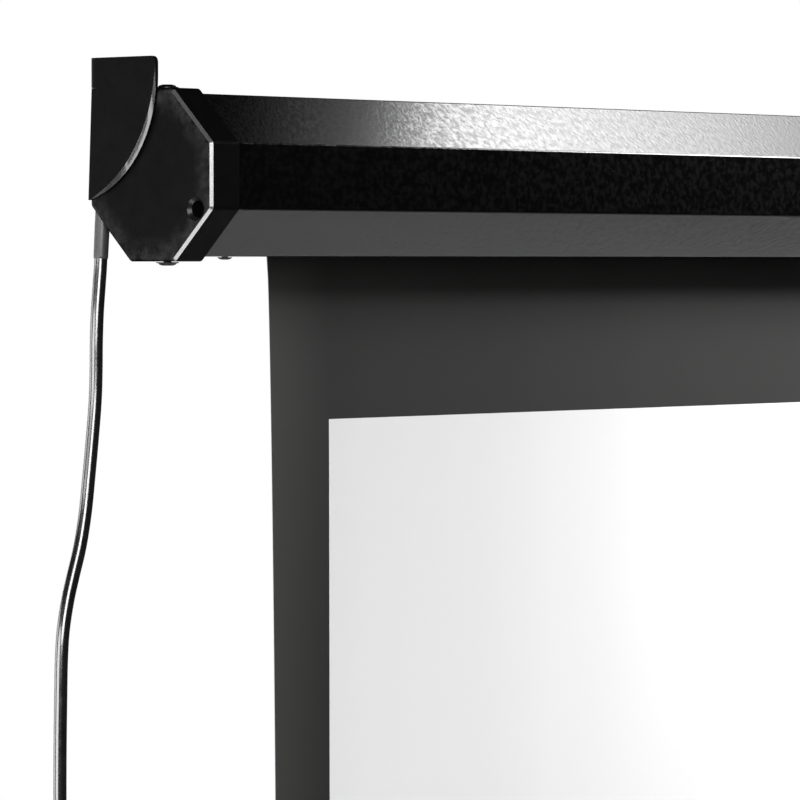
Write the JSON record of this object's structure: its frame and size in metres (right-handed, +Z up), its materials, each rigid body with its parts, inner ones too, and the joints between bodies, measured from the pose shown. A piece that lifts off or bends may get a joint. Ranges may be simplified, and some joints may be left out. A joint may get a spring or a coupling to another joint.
{
  "type": "motorized projector screen",
  "caption": "Wall-held motorised projector screen, let down: octagonal black case, black-bordered white sheet, weight bar and mains cord.",
  "frame": {"origin": "centre of the left wall bracket's flange, on the face that lies against the wall", "axes": "+X along the case from the motor end to the idler end, +Y into the wall, +Z up"},
  "size_m": [2.2135, 0.085, 1.2967],
  "materials": {
    "case_paint": "hammered black powder coat",
    "cap_black": "satin charcoal moulding",
    "bracket_black": "fine black powder coat",
    "zinc_steel": "zinc plated",
    "screw_black": "black zinc",
    "aluminium": "mill finish",
    "dark_plastic": "matt moulding",
    "pale_nylon": "moulded nylon",
    "motor_winding": "varnished core and windings",
    "masking_fabric": "matt black coated sheet",
    "white_fabric": "matt white coated sheet",
    "cord_rubber": "glossy black sheath",
    "brass": "bright brass"
  },
  "bodies": {
    "housing": {"case_shell": "case_paint", "left_end_cap": "cap_black", "right_end_cap": "cap_black", "left_wall_bracket": "bracket_black", "right_wall_bracket": "bracket_black", "mains_cord": "cord_rubber", "cord_coil": "cord_rubber", "cord_relief": "cord_rubber", "plug_body": "cord_rubber", "motor_lead": "cord_rubber", "supply_lead": "cord_rubber", "plug_blade_1": "brass", "plug_blade_2": "brass", "plug_earth_pin": "brass", "motor_head": "dark_plastic", "run_capacitor": "dark_plastic", "control_box": "dark_plastic", "control_box_lid": "dark_plastic", "coil_tie": "dark_plastic", "limit_switch_unit": "pale_nylon", "idler_bush": "pale_nylon", "motor_core": "motor_winding", "motor_tube": "zinc_steel", "gearbox": "zinc_steel", "motor_bracket": "zinc_steel", "idler_bracket": "zinc_steel", "motor_head_screw_1": "zinc_steel", "motor_head_screw_2": "zinc_steel", "left_bracket_nut_upper": "zinc_steel", "left_bracket_nut_lower": "zinc_steel", "left_cap_screw_top": "screw_black", "left_cap_screw_bottom": "screw_black", "right_bracket_nut_upper": "zinc_steel", "right_bracket_nut_lower": "zinc_steel", "right_cap_screw_top": "screw_black", "right_cap_screw_bottom": "screw_black", "motor_bracket_rivet_bottom": "screw_black", "motor_bracket_rivet_rear": "screw_black", "idler_bracket_rivet_bottom": "screw_black", "idler_bracket_rivet_rear": "screw_black"},
    "roller": {"roller_tube": "aluminium", "crown_ring": "pale_nylon", "output_shaft": "zinc_steel", "drive_wheel": "pale_nylon", "wound_sheet": "masking_fabric", "sheet_clamp_strip": "dark_plastic", "idler_plug": "pale_nylon", "idler_pin": "zinc_steel", "idler_retaining_ring": "screw_black"},
    "adjuster": {"limit_adjuster": "dark_plastic"},
    "curtain": {"weight_bar": "case_paint", "fabric_hem": "masking_fabric", "hem_rod": "zinc_steel", "weight_bar_cap_left": "cap_black", "weight_bar_cap_right": "cap_black", "masking_sheet": "masking_fabric", "viewing_surface": "white_fabric"}
  },
  "joints": [
    {"name": "weight_bar_slide", "type": "slide", "parent": "housing", "child": "curtain", "axis": [0, 0, 1], "range_m": [0, 1.164], "deforming": ["masking_sheet", "viewing_surface"]},
    {"name": "roller_spin", "type": "hinge", "parent": "housing", "child": "roller", "pos_m": [0.0528, -0.0533, -0.0525], "axis": [1, 0, 0], "range_deg": [0, 2852]},
    {"name": "limit_adjuster_turn", "type": "hinge", "parent": "housing", "child": "adjuster", "pos_m": [-0.0062, -0.074, -0.069], "axis": [1, 0, 0], "continuous": true}
  ],
  "couplings": [
    {"joint": "roller_spin", "follows": "weight_bar_slide", "rad_per_m": 42.74}
  ]
}
